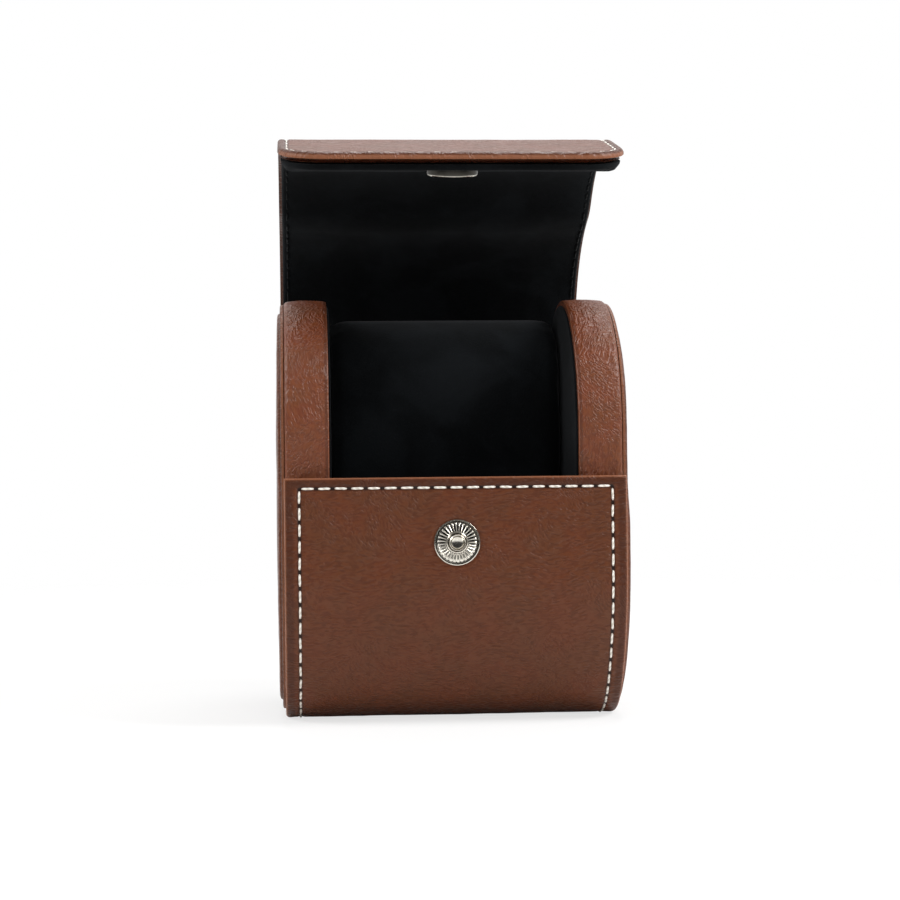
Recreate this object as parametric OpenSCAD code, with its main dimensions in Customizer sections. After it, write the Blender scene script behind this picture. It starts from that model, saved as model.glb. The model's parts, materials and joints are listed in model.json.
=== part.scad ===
// Travel case for one wrist watch: a leather wrap round two padded end walls, an opening lid
// that ends in a snap flap, and a velvet pillow that lifts out.
// Millimetres, +Z up. The origin is the middle of the flat bottom, the front faces -Y.

/* [Case] */
// Width of the leather wrap, and so of the front panel, the bottom and the back
wrap_w = 82; // [80:0.5:84]
// Depth of the end walls, front to back
wall_d = 68; // [64:1:72]
// Height of the end walls above the bottom
wall_top = 104; // [100:1:110]
// Clear width between the end walls' rims
inner_w = 60.4; // [56:0.2:62]
// Height of the front panel's top edge
panel_top = 59.6; // [56:0.2:62]
// Height at which the back becomes the lid
hinge_z = 50; // [48:1:60]

/* [Wrap] */
// Thickness of the outer leather
leather_t = 1.4; // [1:0.1:2]
// Thickness of the stiffening board
board_t = 1.0; // [0.8:0.1:1.4]
// Thickness of the velvet lining in the case
lining_t = 2.4; // [1.5:0.1:3]
// Width of the leather turned over the board's edge
turned_edge = 1.2; // [1:0.1:2]

/* [Lid and flap] */
// Width of the lid and the flap
lid_w = 83.6; // [82:0.2:85]
// Angle by which the lid stands open from closed
lid_open = 41; // [30:1:60]
// Angle by which the flap is unbent from closed
flap_open = 35; // [20:1:40]
// Angle from the crown to the crease between lid and flap
crease_at = 29; // [24:1:34]
// Height of the closed flap's lower edge
flap_end = 36; // [34:0.5:37]
// Corner radius of the flap
flap_corner = 11; // [8:1:14]
// Free space between a closed lid and what it covers
lid_gap = 0.3; // [0.2:0.1:0.5]

/* [Snap] */
// Height of the snap's centre
snap_z = 44; // [43:0.5:46]
// Outer radius of the stud's plate
stud_r = 5.5; // [5:0.1:6]
// Radius of the stud's post
post_r = 1.8; // [1.6:0.1:2]
// Number of ribs on the stud's plate
stud_ribs = 40; // [24:2:48]
// Space that the snap keeps between front panel and flap lining
snap_standoff = 1.6; // [1.4:0.1:1.8]

/* [Pillow] */
// Depth of the pillow
pillow_d = 38; // [34:1:40]
// Height of the pillow
pillow_h = 62; // [58:1:64]
// Height of the pillow's top
pillow_top = 100.5; // [98:0.5:101]
// Distance of the pillow's middle behind the case's middle
pillow_y = 10; // [8:1:11]

/* [Hidden] */

leather_colour = "sienna";
velvet_colour = "#15171a";
foam_colour = "#3a3a3c";
board_colour = "#8d7a5f";
thread_colour = "ivory";
nickel_colour = "silver";

wrap_t = leather_t + board_t + lining_t;
skin_t = leather_t + board_t;
half_d = wall_d / 2 + wrap_t;
wall_r = wall_d / 2;
dome_z = wall_top - wall_r;

// bottom corners of the wrap: a wide arc from the front runs into a tight one at the floor
corner_z = 38;
corner_wide_r = 48;
corner_tight_r = 22;
corner_turn = asin((corner_z - corner_tight_r) / (corner_wide_r - corner_tight_r));
corner_tight_y = half_d - corner_wide_r + (corner_wide_r - corner_tight_r) * cos(corner_turn);

// the lid's arc is centred on the walls' dome, the flap's arc clears the front panel
lid_lining_t = lining_t - lid_gap;
lid_r = half_d;
flap_r = half_d + snap_standoff + lid_lining_t + skin_t;
flap_z = dome_z + lid_r - flap_r;

axis_in = leather_t / 2;
hinge_y = half_d - axis_in;
crease_y = -(flap_r - axis_in) * sin(crease_at);
crease_z = flap_z + (flap_r - axis_in) * cos(crease_at);
hinge_clear = 1;
inner_clear = 0.3;
crease_clear = 1.3;
lid_end_at = crease_at - crease_clear;
flap_start_at = crease_at + crease_clear / 2;
cut_past = 1;

rim_t = 1.2;
wall_lining_t = 0.6;
side_panel_t = 0.8;
side_bulge_t = 0.6;
side_back_top = 44;
half_w = wrap_w / 2;
half_in = inner_w / 2;
half_lid_w = lid_w / 2;
soft_gap = 0.3;

thread_in = 3.6;
flap_thread_in = 2.2;
panel_thread_in = 2.5;
thread_w = 0.7;
thread_deep = 0.35;
thread_over = 0.01;
board_in = turned_edge;
lining_in = 0.8;

pillow_r = pillow_d / 2;
pillow_bottom = pillow_top - pillow_h;
base_top = pillow_bottom - soft_gap;
cover_t = 0.8;
end_t = 0.7;
pillow_half_w = half_in - wall_lining_t - soft_gap;

// the stud's plate is pressed into the leather, the socket stands out of the flap's lining
stud_sink = 0.4;
stud_plate_t = 0.7;
stud_post_h = 2.3;
rivet_r = 1.6;
rivet_gap = 0.05;
washer_r = 5;
socket_r = 6.4;
socket_bore_r = 2.7;
socket_bore_h = 2.4;
socket_face = stud_plate_t - stud_sink + lid_gap;
flap_in = flap_r - lid_lining_t - skin_t;
socket_h = flap_in + lid_lining_t - half_d - socket_face;

arc_steps = 14;

function arc(y, z, r, from, to, steps = arc_steps) =
    [for (i = [0 : steps]) let (a = from + (to - from) * i / steps) [y + r * cos(a), z + r * sin(a)]];
function reversed(points) = [for (i = [len(points) - 1 : -1 : 0]) points[i]];

// line down the front, round the bottom and up the back, at depth o under the outer surface
function body_line(o, front_top, back_top) = concat(
    [[-half_d + o, front_top]],
    arc(corner_wide_r - half_d, corner_z, corner_wide_r - o, 180, 180 + corner_turn),
    arc(-corner_tight_y, corner_tight_r, corner_tight_r - o, 180 + corner_turn, 270),
    arc(corner_tight_y, corner_tight_r, corner_tight_r - o, 270, 360 - corner_turn),
    arc(half_d - corner_wide_r, corner_z, corner_wide_r - o, 360 - corner_turn, 360),
    [[half_d - o, back_top]]
);

function on_arc(y, z, r, a) = [y + r * cos(a), z + r * sin(a)];

// the closed lid's line from the hinge over the crown to its end, and past that by some degrees
function lid_line(o, bottom, past) = concat(
    [[half_d - o, bottom]],
    arc(0, dome_z, lid_r - o, 0, 90, 2 * arc_steps),
    arc(0, flap_z, flap_r - o, 90, 90 + lid_end_at),
    past > 0 ? [on_arc(0, flap_z, flap_r - o, 90 + lid_end_at + past)] : []
);

// the closed flap's line down to its lower edge, from some degrees before its board starts
function flap_line(o, before, end_z) = concat(
    before > 0 ? [on_arc(0, flap_z, flap_r - o, 90 + flap_start_at - before)] : [],
    arc(0, flap_z, flap_r - o, 90 + flap_start_at, 180, 2 * arc_steps),
    [[-flap_r + o, end_z]]
);

// outline of an end wall at depth o under its surface
function wall_outline(o) = concat(
    arc(0, dome_z, wall_r - o, 0, 180, 4 * arc_steps),
    body_line(wrap_t + o, corner_z, corner_z)
);

// outline of a side panel at depth o: it also covers the edge of the wrap's board and lining,
// up to the front panel's top and, behind, to just under the lid
function side_outline(o) = concat(
    arc(0, dome_z, wall_r - o, 0, 180, 4 * arc_steps),
    body_line(leather_t + o, panel_top - o, side_back_top),
    [[wall_r - o, hinge_z - 2 * hinge_clear]]
);

// turns a profile in Y and Z into a slab from x0 to x1
module slab(x0, x1) {
    translate([x0, 0, 0])
        rotate([90, 0, 90])
            linear_extrude(x1 - x0)
                children();
}

module body_band(o0, o1, w, front_top, back_top)
    slab(-w / 2, w / 2)
        polygon(concat(body_line(o0, front_top, back_top), reversed(body_line(o1, front_top, back_top))));

module lid_band(o0, o1, w, bottom, past = 0)
    slab(-w / 2, w / 2)
        polygon(concat(lid_line(o0, bottom, past), reversed(lid_line(o1, bottom, past))));

module flap_band(o0, o1, w, before = 0, end_z = flap_end)
    slab(-w / 2, w / 2)
        polygon(concat(flap_line(o0, before, end_z), reversed(flap_line(o1, before, end_z))));

// keeps a flap layer inside the flap's outline with round lower corners, set in by o
module inside_flap_outline(o) {
    r = flap_corner - o;
    intersection() {
        children();
        translate([0, 0, flap_end + o])
            rotate([90, 0, 0])
                linear_extrude(4 * half_d, center = true) {
                    translate([-half_lid_w + o, r])
                        square([lid_w - 2 * o, 2 * wall_top]);
                    translate([-half_lid_w + flap_corner, 0])
                        square([lid_w - 2 * flap_corner, 2 * r]);
                    for (side = [-1, 1])
                        translate([side * (half_lid_w - flap_corner), r])
                            circle(r, $fn = 64);
                }
    }
}

// stands the closed lid open
module open_lid()
    translate([0, hinge_y, hinge_z])
        rotate([-lid_open, 0, 0])
            translate([0, -hinge_y, -hinge_z])
                children();

// unbends the closed flap, then stands it open with the lid
module open_flap()
    open_lid()
        translate([0, crease_y, crease_z])
            rotate([-flap_open, 0, 0])
                translate([0, -crease_y, -crease_z])
                    children();

module bead(y, z)
    translate([0, y, z])
        rotate([0, 90, 0])
            cylinder(h = lid_w, r = axis_in, center = true, $fn = 48);

// a disc-like part on the snap's axis, turned from its half section, facing the front
module on_snap_axis(y)
    translate([0, y, snap_z])
        rotate([90, 0, 0])
            children();

module body_board()
    color(board_colour)
        difference() {
            body_band(leather_t, skin_t, wrap_w - 2 * board_in, panel_top - board_in, hinge_z - hinge_clear);
            on_snap_axis(-half_d + wrap_t)
                cylinder(h = wrap_t, r = washer_r + rivet_gap, $fn = 96);
        }

module body_thread_rows()
    for (side = [-1, 1])
        translate([side * (half_w - thread_in), 0, 0])
            body_band(-thread_over, thread_deep, thread_w, panel_top - panel_thread_in, hinge_z - 2 * hinge_clear);

module panel_thread_row()
    translate([0, -half_d + thread_deep / 2, panel_top - panel_thread_in])
        cube([wrap_w - 2 * thread_in, thread_deep, thread_w], center = true);

module body_leather()
    color(leather_colour)
        difference() {
            body_band(0, skin_t, wrap_w, panel_top, hinge_z - hinge_clear);
            body_band(leather_t, skin_t + 1, wrap_w - 2 * board_in, panel_top - board_in, hinge_z);
            body_thread_rows();
            panel_thread_row();
            on_snap_axis(-half_d + stud_sink)
                cylinder(h = leather_t, r = stud_r + rivet_gap, $fn = 96);
            on_snap_axis(-half_d + wrap_t)
                cylinder(h = wrap_t, r = rivet_r + rivet_gap, $fn = 48);
        }

module body_thread()
    color(thread_colour)
        intersection() {
            union() {
                body_thread_rows();
                panel_thread_row();
            }
            body_band(0, thread_deep, wrap_w, panel_top, hinge_z);
        }

module body_lining()
    color(velvet_colour)
        body_band(skin_t, wrap_t, wrap_w - 2 * lining_in, panel_top - lining_in, hinge_z - hinge_clear);

// a layer of an end wall between x0 and x1, with the given outline, on the side given by -1 or 1
module end_layer(side, x0, x1, outline)
    mirror([side < 0 ? 1 : 0, 0, 0])
        slab(x0, x1)
            polygon(outline);

module wall_layer(side, x0, x1, o)
    end_layer(side, x0, x1, wall_outline(o));

module wall_core(side)
    color(foam_colour)
        wall_layer(side, half_in, half_w, rim_t);

module rim_leather(side)
    color(leather_colour)
        difference() {
            wall_layer(side, half_in, half_w, 0);
            wall_layer(side, half_in - 1, half_w + 1, rim_t);
        }

module side_panel(side)
    color(leather_colour) {
        end_layer(side, half_w, half_w + side_panel_t, side_outline(side_panel_t));
        end_layer(side, half_w + side_panel_t, half_w + side_panel_t + side_bulge_t,
            side_outline(2 * side_panel_t));
    }

module wall_lining(side)
    color(velvet_colour)
        wall_layer(side, half_in - wall_lining_t, half_in, rim_t);

module left_wall_core() wall_core(-1);
module right_wall_core() wall_core(1);
module left_rim_leather() rim_leather(-1);
module right_rim_leather() rim_leather(1);
module left_side_panel() side_panel(-1);
module right_side_panel() side_panel(1);
module left_wall_lining() wall_lining(-1);
module right_wall_lining() wall_lining(1);

// fills the case's round bottom and carries the pillow
module base_cushion()
    color(velvet_colour)
        slab(-pillow_half_w, pillow_half_w)
            polygon(body_line(wrap_t, base_top, base_top));

// rivet, sunk plate with rim, ribs and ring, and the post that the socket grips
module snap_stud()
    color(nickel_colour)
        on_snap_axis(-half_d + stud_sink) {
            rotate_extrude($fn = 96)
                polygon([
                    [0, stud_sink - skin_t], [rivet_r, stud_sink - skin_t], [rivet_r, 0],
                    [stud_r, 0], [stud_r, stud_plate_t - 0.15], [stud_r - 0.15, stud_plate_t],
                    [stud_r - 0.35, stud_plate_t], [stud_r - 0.5, 0.45],
                    [stud_r - 0.9, 0.4], [2.65, 0.4],
                    [2.55, 0.9], [2.4, 1.0], [2.2, 0.9], [2.1, 0.6],
                    [post_r - 0.15, 0.6], [post_r, 1.7], [post_r - 0.25, 2.1], [1.0, stud_post_h],
                    [0, stud_post_h]
                ]);
            for (i = [0 : stud_ribs - 1])
                rotate([0, 0, i * 360 / stud_ribs])
                    translate([2.8, -0.11, 0.3])
                        cube([stud_r - 3.75, 0.22, 0.25]);
        }

module stud_washer()
    color(nickel_colour)
        on_snap_axis(-half_d + skin_t)
            difference() {
                cylinder(h = board_t, r = washer_r, $fn = 96);
                translate([0, 0, -1])
                    cylinder(h = board_t + 2, r = rivet_r + rivet_gap, $fn = 48);
            }

module lid_thread_rows()
    for (side = [-1, 1])
        translate([side * (half_lid_w - flap_thread_in), 0, 0])
            lid_band(-thread_over, thread_deep, thread_w, hinge_z + 2 * hinge_clear, cut_past);

module lid_leather()
    color(leather_colour)
        open_lid() {
            difference() {
                lid_band(0, skin_t, lid_w, hinge_z);
                lid_band(leather_t, skin_t + 1, lid_w - 2 * board_in, hinge_z - 1, cut_past);
                lid_thread_rows();
            }
            bead(hinge_y, hinge_z);
        }

module lid_board()
    color(board_colour)
        open_lid()
            lid_band(leather_t, skin_t, lid_w - 2 * board_in, hinge_z + inner_clear);

module lid_lining()
    color(velvet_colour)
        open_lid()
            lid_band(skin_t, skin_t + lid_lining_t, lid_w - 2 * lining_in, hinge_z + inner_clear);

module lid_thread()
    color(thread_colour)
        open_lid()
            intersection() {
                lid_thread_rows();
                lid_band(0, thread_deep, lid_w, hinge_z);
            }

module flap_thread_rows() {
    for (side = [-1, 1])
        translate([side * (half_lid_w - flap_thread_in), 0, 0])
            flap_band(-thread_over, thread_deep, thread_w, 0, flap_end + flap_corner);
    translate([0, -flap_r + thread_deep / 2, flap_end + flap_thread_in])
        cube([lid_w - 2 * flap_corner, thread_deep, thread_w], center = true);
}

module flap_leather()
    color(leather_colour)
        open_flap() {
            difference() {
                inside_flap_outline(0)
                    flap_band(0, skin_t, lid_w, crease_clear / 2);
                inside_flap_outline(board_in)
                    flap_band(leather_t, skin_t + 1, lid_w, crease_clear / 2 + cut_past);
                flap_thread_rows();
            }
            bead(crease_y, crease_z);
        }

module flap_board()
    color(board_colour)
        open_flap()
            difference() {
                inside_flap_outline(board_in)
                    flap_band(leather_t, skin_t, lid_w);
                on_snap_axis(-flap_in + 1)
                    cylinder(h = 2 * wrap_t, r = washer_r + rivet_gap, $fn = 96);
            }

module flap_lining()
    color(velvet_colour)
        open_flap()
            difference() {
                inside_flap_outline(lining_in)
                    flap_band(skin_t, skin_t + lid_lining_t, lid_w);
                on_snap_axis(-flap_in + 1)
                    cylinder(h = 2 * wrap_t, r = socket_r + rivet_gap, $fn = 96);
            }

module flap_thread()
    color(thread_colour)
        open_flap()
            intersection() {
                flap_thread_rows();
                flap_band(0, thread_deep, lid_w);
            }

// round body with the bore that takes the stud's post, and the rivet that holds it
module snap_socket()
    color(nickel_colour)
        open_flap()
            on_snap_axis(-half_d - socket_face)
                rotate_extrude($fn = 96)
                    polygon([
                        [socket_bore_r, 0.3], [socket_bore_r + 0.3, 0], [3.9, 0], [4.2, 0.35],
                        [4.9, 0.35], [5.2, 0], [5.9, 0], [socket_r, 0.5],
                        [socket_r, socket_h], [rivet_r, socket_h], [rivet_r, socket_h + board_t],
                        [0, socket_h + board_t], [0, socket_bore_h], [socket_bore_r, socket_bore_h]
                    ]);

module socket_washer()
    color(nickel_colour)
        open_flap()
            on_snap_axis(-half_d - socket_face - socket_h)
                difference() {
                    cylinder(h = board_t, r = washer_r, $fn = 96);
                    translate([0, 0, -1])
                        cylinder(h = board_t + 2, r = rivet_r + rivet_gap, $fn = 48);
                }

// side view of the pillow, r is the radius of its round top and bottom
function pillow_outline(r) = concat(
    arc(pillow_y, pillow_top - pillow_r, r, 0, 180, 2 * arc_steps),
    arc(pillow_y, pillow_bottom + pillow_r, r, 180, 360, 2 * arc_steps)
);

module pillow_core()
    color(foam_colour)
        slab(-pillow_half_w + end_t, pillow_half_w - end_t)
            polygon(pillow_outline(pillow_r - cover_t));

module pillow_cover()
    color(velvet_colour)
        difference() {
            slab(-pillow_half_w + end_t, pillow_half_w - end_t)
                polygon(pillow_outline(pillow_r));
            slab(-pillow_half_w, pillow_half_w)
                polygon(pillow_outline(pillow_r - cover_t));
        }

module pillow_end(side)
    color(velvet_colour)
        mirror([side < 0 ? 1 : 0, 0, 0])
            slab(pillow_half_w - end_t, pillow_half_w)
                polygon(pillow_outline(pillow_r));

module pillow_left_end() pillow_end(-1);
module pillow_right_end() pillow_end(1);

body_leather();
body_board();
body_lining();
body_thread();
left_wall_core();
right_wall_core();
left_rim_leather();
right_rim_leather();
left_side_panel();
right_side_panel();
left_wall_lining();
right_wall_lining();
base_cushion();
snap_stud();
stud_washer();
lid_leather();
lid_board();
lid_lining();
lid_thread();
flap_leather();
flap_board();
flap_lining();
flap_thread();
snap_socket();
socket_washer();
pillow_core();
pillow_cover();
pillow_left_end();
pillow_right_end();
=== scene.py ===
import json
import math

import bmesh
import bpy
from mathutils import Matrix, Vector, kdtree, noise


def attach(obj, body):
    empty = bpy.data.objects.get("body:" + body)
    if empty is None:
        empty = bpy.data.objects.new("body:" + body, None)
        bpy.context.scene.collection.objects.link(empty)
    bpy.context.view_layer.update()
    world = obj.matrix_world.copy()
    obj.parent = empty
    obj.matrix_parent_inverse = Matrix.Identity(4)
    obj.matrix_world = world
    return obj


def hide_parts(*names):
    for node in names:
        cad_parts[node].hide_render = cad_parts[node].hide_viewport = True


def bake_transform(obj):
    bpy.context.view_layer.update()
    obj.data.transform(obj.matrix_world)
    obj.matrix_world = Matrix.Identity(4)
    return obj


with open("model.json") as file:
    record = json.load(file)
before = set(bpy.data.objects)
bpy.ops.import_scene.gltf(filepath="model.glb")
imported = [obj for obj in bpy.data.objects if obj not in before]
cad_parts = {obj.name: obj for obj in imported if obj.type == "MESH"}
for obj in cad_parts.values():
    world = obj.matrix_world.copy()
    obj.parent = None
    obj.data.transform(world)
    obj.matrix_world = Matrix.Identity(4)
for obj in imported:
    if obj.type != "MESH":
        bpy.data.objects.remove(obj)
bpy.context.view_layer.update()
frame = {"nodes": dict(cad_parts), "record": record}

# Sizes in millimetres, the same as the solids'. A depth is measured inwards from the wrap's outer face.
MM = 0.001
# Half widths: the wrap's, the lid's, the space's between the end walls, and the pillow's.
HALF_WRAP, HALF_LID, HALF_IN, HALF_PILLOW = 41.0, 41.8, 30.2, 29.3
# The front panel's place and its top edge, and the middle of the snap on it.
FRONT, PANEL_TOP, SNAP_Z = -38.8, 59.6, 44.0
# Thicknesses: leather with its board, the case's lining and the lid's, the whole wrap and the whole lid.
SKIN, LINING, LID_LINING, WRAP, LID_WRAP = 2.4, 2.35, 2.1, 4.8, 4.5
# The wrap's round bottom: two radii on each side, where they meet in degrees, and half the flat between.
WIDE_R, TIGHT_R, CORNER, FLAT = 48, 22, math.degrees(math.asin(16 / 26)), 11.294
# Radii: the end walls' tops, the shut lid's back, its front with the flap, and the flap's corners.
WALL_R, LID_R, FLAP_R, FLAP_CORNER = 34.0, 38.8, 44.9, 11.0
# How far the lid stands open at the hinge, and how far the flap is unbent at the crease, in degrees.
LID_OPEN, FLAP_OPEN = 41, 35
HINGE_Y, HINGE_Z, CREASE_TURN = 38.1, 50.0, 29
# Radii over which the leather turns at its edges and at the flap's end, and the lining at its edges.
TURNED, FLAP_TURNED, PADDED = 0.8, 1.5, 1.5
# How far inside the leather's edges the rows of stitches and the lid's lining lie.
THREAD_IN, LID_THREAD_IN, LINING_IN = 3.6, 2.2, 0.8
HALF_LINING = HALF_LID - LINING_IN
STITCH_PITCH, STITCH = 3.95, 2.95
# Places of a sheet's first vertices, inwards from its edge.
EDGES = [0, 0.07, 0.25, 0.5, 0.8, 1.2, 1.6, 2.0, 2.3, 2.6, 2.9, 3.2, 3.5, 3.8, 4.1, 4.6, 5.2]
LINING_EDGES = [0, 0.12, 0.4, 0.8, 1.3, 1.9, 2.6]


# ---- paths

def bend(radius, turn, step=0.8):
    """A round run: its length, its turn in degrees, left turns positive, and the step between rows."""
    return radius * math.radians(abs(turn)), turn, step


def length_of(path):
    return sum(run[0] for run in path[2])


def inward(path, depth):
    """The same path, moved to the left of its heading, with as many rows."""
    (y, z), heading, runs = path
    side = math.radians(heading + 90)
    start = (y + depth * math.cos(side), z + depth * math.sin(side))
    moved = []
    for length, turn, step in runs:
        ratio = (length - depth * math.radians(turn)) / length
        moved.append((length * ratio, turn, step * ratio))
    return start, heading, moved


def along(path, s):
    """The two coordinates and the heading in radians, at distance s along a path."""
    (y, z), heading, runs = path
    heading = math.radians(heading)
    for length, turn, _ in runs:
        part = min(s, length)
        turned = math.radians(turn) * part / length
        chord = part * (math.sin(turned / 2) / (turned / 2) if abs(turned) > 1e-9 else 1)
        y += chord * math.cos(heading + turned / 2)
        z += chord * math.sin(heading + turned / 2)
        heading += turned
        s -= part
        if s <= 0:
            break
    return y, z, heading


def rows_of(path):
    """The distances along a path at which its sheet has a row of vertices."""
    rows, s = [0.0], 0.0
    for length, _, step in path[2]:
        steps = max(1, round(length / step))
        rows += [s + length * i / steps for i in range(1, steps + 1)]
        s += length
    return rows


# The wrap's outer face: down the front, round the bottom, up the back, round the hinge and up the lid as far
# as JOIN, where the lid's own sheet takes over. HINGE_RUN is what the hinge's bend takes off the run beside it.
HINGE_BEND, JOIN = 5.0, 12.0
HINGE_RUN = HINGE_BEND * math.tan(math.radians(LID_OPEN / 2))
ROUND_BOTTOM = [bend(WIDE_R, CORNER), bend(TIGHT_R, 90 - CORNER), (2 * FLAT, 0, 0.8),
                bend(TIGHT_R, 90 - CORNER), bend(WIDE_R, CORNER)]
CASE = ((FRONT, PANEL_TOP), -90, [
    (0.1, 0, 0.1), (0.3, 0, 0.3), (3.4, 0, 0.42), (17.8, 0, 0.72), *ROUND_BOTTOM,
    (12 - HINGE_RUN, 0, 0.8), bend(HINGE_BEND, -LID_OPEN, 0.5), (JOIN - HINGE_RUN, 0, 0.8),
])
# The lid and the flap, from there over the crown to the flap's end. CREASE_CUT is the turn, in degrees on each
# side of the crease, that a flatter run of CREASE_LENGTH replaces.
LEAN = math.radians(LID_OPEN)
CREASE_CUT, CREASE_LENGTH, FLAP_STRAIGHT = 4.95, 7.7, 27.9
END_ROWS = [math.sin(math.radians(a)) for a in range(0, 91, 6)]
LID = ((LID_R + JOIN * math.sin(LEAN), HINGE_Z + JOIN * math.cos(LEAN)), 90 - LID_OPEN, [
    (20 - JOIN, 0, 0.8), bend(LID_R, 90), bend(FLAP_R, CREASE_TURN - CREASE_CUT),
    (CREASE_LENGTH, 2 * CREASE_CUT - FLAP_OPEN, 0.7), bend(FLAP_R, 90 - CREASE_TURN - CREASE_CUT),
    (FLAP_STRAIGHT - FLAP_CORNER, 0, 0.8),
    *[(FLAP_CORNER * (b - a), 0, FLAP_CORNER) for a, b in zip(END_ROWS, END_ROWS[1:])],
])
CASE_LENGTH = length_of(CASE)
WHOLE_LENGTH = CASE_LENGTH + length_of(LID)
HINGE_AT = CASE_LENGTH - JOIN


def wall_path(depth, shown=0.8, hidden=1.6):
    """An end wall's outline, once round it from the middle of the bottom, up the front and down the back."""
    low = [(FLAT, 0, hidden), bend(TIGHT_R - WRAP, CORNER - 90, hidden), bend(WIDE_R - WRAP, -CORNER, hidden)]
    return inward(((0, WRAP), 180, [
        *low, (16, 0, hidden), (16, 0, shown), bend(WALL_R, -180, shown), (24, 0, shown), (8, 0, hidden),
        *low[::-1]]), -depth)


# ---- editing by hand

def edit(piece, action="SELECT"):
    """Opens a piece for editing, with all of it selected, or nothing."""
    select(piece)
    bpy.ops.object.mode_set(mode="EDIT")
    bpy.ops.mesh.select_mode(type="VERT")
    bpy.ops.mesh.select_all(action=action)


def close():
    bpy.ops.object.mode_set(mode="OBJECT")


def select(piece):
    bpy.ops.object.select_all(action="DESELECT")
    piece.select_set(True)
    bpy.context.view_layer.objects.active = piece


def named(name):
    piece = bpy.context.object
    piece.name = piece.data.name = name
    return piece


def smooth(piece, degrees=40):
    select(piece)
    bpy.ops.object.shade_smooth_by_angle(angle=math.radians(degrees))


def finish_with(piece, kind, **settings):
    """Adds a modifier and applies it."""
    made = piece.modifiers.new(kind.title(), kind)
    for name, value in settings.items():
        setattr(made, name, value)
    select(piece)
    bpy.ops.object.modifier_apply(modifier=made.name)


def merged(piece):
    """Closes a piece's seams and poles, and turns its faces outwards."""
    edit(piece)
    bpy.ops.mesh.remove_doubles(threshold=0.004 * MM)
    bpy.ops.mesh.normals_make_consistent(inside=False)
    close()
    return piece


def spread(half, edges, step):
    """Places across a sheet: close together near its two edges and a step apart between them."""
    middle = half - edges[-1]
    count = max(2, round(2 * middle / step))
    left = [-half + e for e in edges[:-1]]
    return left + [-middle + 2 * middle * i / count for i in range(count + 1)] + [-x for x in reversed(left)]


def draw_out(path):
    """Draws the selected row of edges out along a path: straight runs by extrusion, bends by spin."""
    s = 0.0
    for length, turn, step in path[2]:
        steps = max(1, round(length / step))
        y, z, heading = along(path, s)
        if abs(turn) < 1e-6:
            reach = length / steps * MM
            bpy.ops.mesh.extrude_repeat(
                steps=steps, offset=(0, reach * math.cos(heading), reach * math.sin(heading)))
        else:
            radius = length / math.radians(turn)
            centre = (0, (y - radius * math.sin(heading)) * MM, (z + radius * math.cos(heading)) * MM)
            bpy.ops.mesh.spin(
                steps=steps, angle=math.radians(abs(turn)), center=centre, axis=(-math.copysign(1, turn), 0, 0))
        s += length


def row_of_edges(name, points):
    """A new piece, open for editing: one row of edges through points in mm, all selected."""
    bpy.ops.mesh.primitive_grid_add(x_subdivisions=len(points) - 1, y_subdivisions=1, size=2)
    piece = named(name)
    edit(piece)
    mesh = bmesh.from_edit_mesh(piece.data)
    bmesh.ops.delete(mesh, geom=[v for v in mesh.verts if v.co.y > 0], context="VERTS")
    for vertex, point in zip(sorted(mesh.verts, key=lambda v: v.co.x), points):
        vertex.co = Vector(point) * MM
    bmesh.update_edit_mesh(piece.data)
    bpy.ops.mesh.select_all(action="SELECT")
    return piece


def drawn_sheet(name, path, across, place):
    """A row of edges across X, drawn out along a path in Y and Z, then shaped.

    place(u, s, row) gives, for a place across the sheet and along the path, the point in mm, the place on
    the flat hide, the distance from the nearest cut edge, and the share of thickness there.
    """
    piece = row_of_edges(name, [(u, *path[0]) for u in across])
    draw_out(path)
    close()
    mesh = piece.data
    rows = rows_of(path)
    group = piece.vertex_groups.new(name="thickness")
    cuts, insets = [], []
    for i, vertex in enumerate(mesh.vertices):
        row = i // len(across)
        point, cut, inset, share = place(vertex.co.x / MM, rows[row], row)
        vertex.co = Vector(point) * MM
        group.add([i], share, "REPLACE")
        cuts.append(cut)
        insets.append(inset)
    mesh.attributes.new("inset", "FLOAT", "POINT").data.foreach_set("value", insets)
    flat = mesh.uv_layers.new(name="cut")
    flat.data.foreach_set("uv", [c * MM for loop in mesh.loops for c in cuts[loop.vertex_index]])
    mesh.update()
    return piece


def thickened(piece, thickness, outward):
    """Gives a sheet its thickness, away from the side that outward(a face's centre) points to."""
    if sum(face.area * face.normal.dot(Vector(outward(face.center))) for face in piece.data.polygons) < 0:
        edit(piece)
        bpy.ops.mesh.flip_normals()
        close()
    finish_with(piece, "SOLIDIFY", thickness=thickness * MM, offset=-1, vertex_group="thickness")
    smooth(piece)
    return piece


# ---- how soft sheets rise and fall

def waves(x, s, seed, long, wide):
    return noise.noise(Vector((x / wide, s / long, seed)))


def hide(x, s, seed=0.0):
    """The slow unevenness of padded leather, in mm."""
    return 0.10 * waves(x, s, seed, 13, 17) + 0.05 * waves(x, s, seed + 5, 4.5, 6)


def wrinkles(x, s, seed, lean=0.0):
    """Fine crease lines pressed into the hide, which run across it and wander, in mm."""
    drift = 3.0 * waves(x, s, seed + 9, 16, 16)
    a = x + 0.8 * drift + lean * s
    b = s + drift - lean * x
    low = noise.noise(Vector((a / 3.4, b / 1.3, seed)))
    fine = noise.noise(Vector((a / 1.9, b / 0.95, seed + 3)))
    strength = 0.6 + 0.8 * waves(x, s, seed + 20, 19, 23)
    return 0.04 * max(0.1, strength) * (low + 0.5 * fine)


def rounded(inset, radius):
    """How far a face falls towards its edge, where it is turned over with that radius."""
    if inset >= radius:
        return 0.0
    return radius - math.sqrt(max(0.0, radius * radius - (radius - inset) ** 2))


def eased(value, low, high):
    t = min(1.0, max(0.0, (value - low) / (high - low)))
    return t * t * (3 - 2 * t)


def hump(distance, width):
    return math.exp(-(distance / width) ** 2)


# ---- rows of stitches on the hide

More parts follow.
